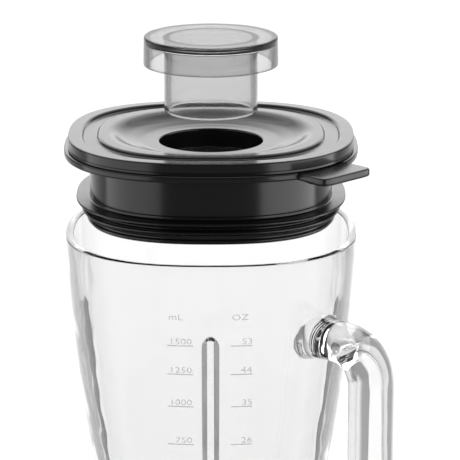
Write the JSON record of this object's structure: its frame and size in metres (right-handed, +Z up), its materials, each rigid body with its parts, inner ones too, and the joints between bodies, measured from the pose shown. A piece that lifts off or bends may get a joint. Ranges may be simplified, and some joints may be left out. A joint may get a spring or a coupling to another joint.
{
  "type": "countertop blender",
  "caption": "Countertop blender: motor base with speed knob and pulse button, glass jar with corner handle and blade unit, sealed lid and measuring cap held above their seats.",
  "frame": {"origin": "on the worktop under the drive axis, at the level of the feet", "axes": "+Z up along the drive axis; the front with the knob faces -Y; the handle is towards +X -Y"},
  "size_m": [0.2, 0.2, 0.5006],
  "materials": {
    "smoke_plastic": "clear smoke-grey, injection moulded, polished",
    "lid_plastic": "black polypropylene, satin moulded",
    "seal_rubber": "black silicone, compression moulded",
    "jar_glass": "clear pressed glass, fire polished",
    "collar_plastic": "black ABS, fine moulded grain",
    "clear_silicone": "translucent silicone",
    "holder_plastic": "black glass-filled nylon",
    "bronze": "sintered bronze",
    "stainless": "stainless steel, ground",
    "white_nylon": "natural nylon, moulded",
    "drive_rubber": "black thermoplastic rubber",
    "drive_plastic": "black acetal",
    "silicon_steel": "stamped electrical steel laminations",
    "copper_wire": "enamelled copper winding",
    "copper_bar": "turned copper segments",
    "zinc": "die-cast zinc, tumbled",
    "phenolic": "brown phenolic moulding",
    "carbon": "pressed carbon",
    "housing_plastic": "black ABS, polished mould",
    "chrome_trim": "chrome-plated ABS",
    "cover_plastic": "black polypropylene, grained",
    "foot_rubber": "black rubber, moulded",
    "panel_metal": "brushed anodised aluminium",
    "knob_plastic": "black ABS, spun top",
    "switch_plastic": "white thermoset",
    "board": "green solder mask on glass epoxy"
  },
  "bodies": {
    "base": {"base_housing": "housing_plastic", "trim_band": "chrome_trim", "bottom_cover": "cover_plastic", "rubber_feet": "foot_rubber", "cover_screws": "stainless", "seat_pad": "drive_rubber", "splash_seal": "seal_rubber", "control_panel": "panel_metal", "rotary_switch": "switch_plastic", "pulse_switch": "switch_plastic", "interlock_switch": "collar_plastic", "circuit_board": "board", "cord_inlet": "foot_rubber", "stator_core": "silicon_steel", "field_coils": "copper_wire", "upper_bracket": "zinc", "lower_bracket": "zinc", "motor_bearings": "stainless", "brush_holders": "phenolic", "carbon_brushes": "carbon", "brush_springs": "stainless", "motor_grommets": "foot_rubber", "motor_screws": "stainless", "pulse_spring": "stainless", "interlock_spring": "stainless"},
    "rotor": {"motor_shaft": "stainless", "drive_coupling": "drive_plastic", "armature_core": "silicon_steel", "armature_winding": "copper_wire", "commutator": "copper_bar", "cooling_fan": "white_nylon"},
    "jar": {"glass_jar": "jar_glass", "jar_collar": "collar_plastic", "jar_gasket": "clear_silicone", "blade_holder": "holder_plastic", "blade_bushes": "bronze", "shaft_seal": "seal_rubber"},
    "blades": {"blade_shaft": "stainless", "thrust_washer": "white_nylon", "lower_blade": "stainless", "blade_spacer": "stainless", "upper_blade": "stainless", "blade_nut": "stainless", "jar_coupling": "drive_rubber"},
    "lid": {"lid_cover": "lid_plastic", "lid_ring": "lid_plastic", "lid_seal": "seal_rubber"},
    "cap": {"filler_cap": "smoke_plastic"},
    "knob": {"speed_knob": "knob_plastic", "knob_spindle": "stainless"},
    "button": {"pulse_button": "knob_plastic"},
    "sensing_pin": {"interlock_pin": "white_nylon"}
  },
  "joints": [
    {"name": "motor_spin", "type": "hinge", "parent": "base", "child": "rotor", "pos_m": [0, 0, 0.1], "axis": [0, 0, 1], "continuous": true},
    {"name": "jar_lift", "type": "slide", "parent": "base", "child": "jar", "axis": [0, 0, 1], "range_m": [0, 0.08]},
    {"name": "blade_spin", "type": "hinge", "parent": "jar", "child": "blades", "pos_m": [0, 0, 0.2], "axis": [0, 0, 1], "continuous": true},
    {"name": "lid_lift", "type": "slide", "parent": "jar", "child": "lid", "axis": [0, 0, 1], "range_m": [-0.0415, 0.06]},
    {"name": "cap_lift", "type": "slide", "parent": "lid", "child": "cap", "axis": [0, 0, 1], "range_m": [-0.039, 0.04]},
    {"name": "knob_turn", "type": "hinge", "parent": "base", "child": "knob", "pos_m": [0, -0.08089, 0.1112], "axis": [0, -0.9783, 0.2073], "range_deg": [-90, 45]},
    {"name": "pulse_press", "type": "slide", "parent": "base", "child": "button", "axis": [0, 0.9783, -0.2073], "range_m": [0, 0.0025], "stiffness_N_per_m": 600, "springref_m": -0.002, "deforming": ["pulse_spring"]},
    {"name": "pin_rise", "type": "slide", "parent": "base", "child": "sensing_pin", "axis": [0, 0, 1], "range_m": [0, 0.003], "deforming": ["interlock_spring"]}
  ],
  "couplings": [
    {"joint": "blade_spin", "follows": "motor_spin", "ratio": 1},
    {"joint": "pin_rise", "follows": "jar_lift", "ratio": 0.0375}
  ]
}
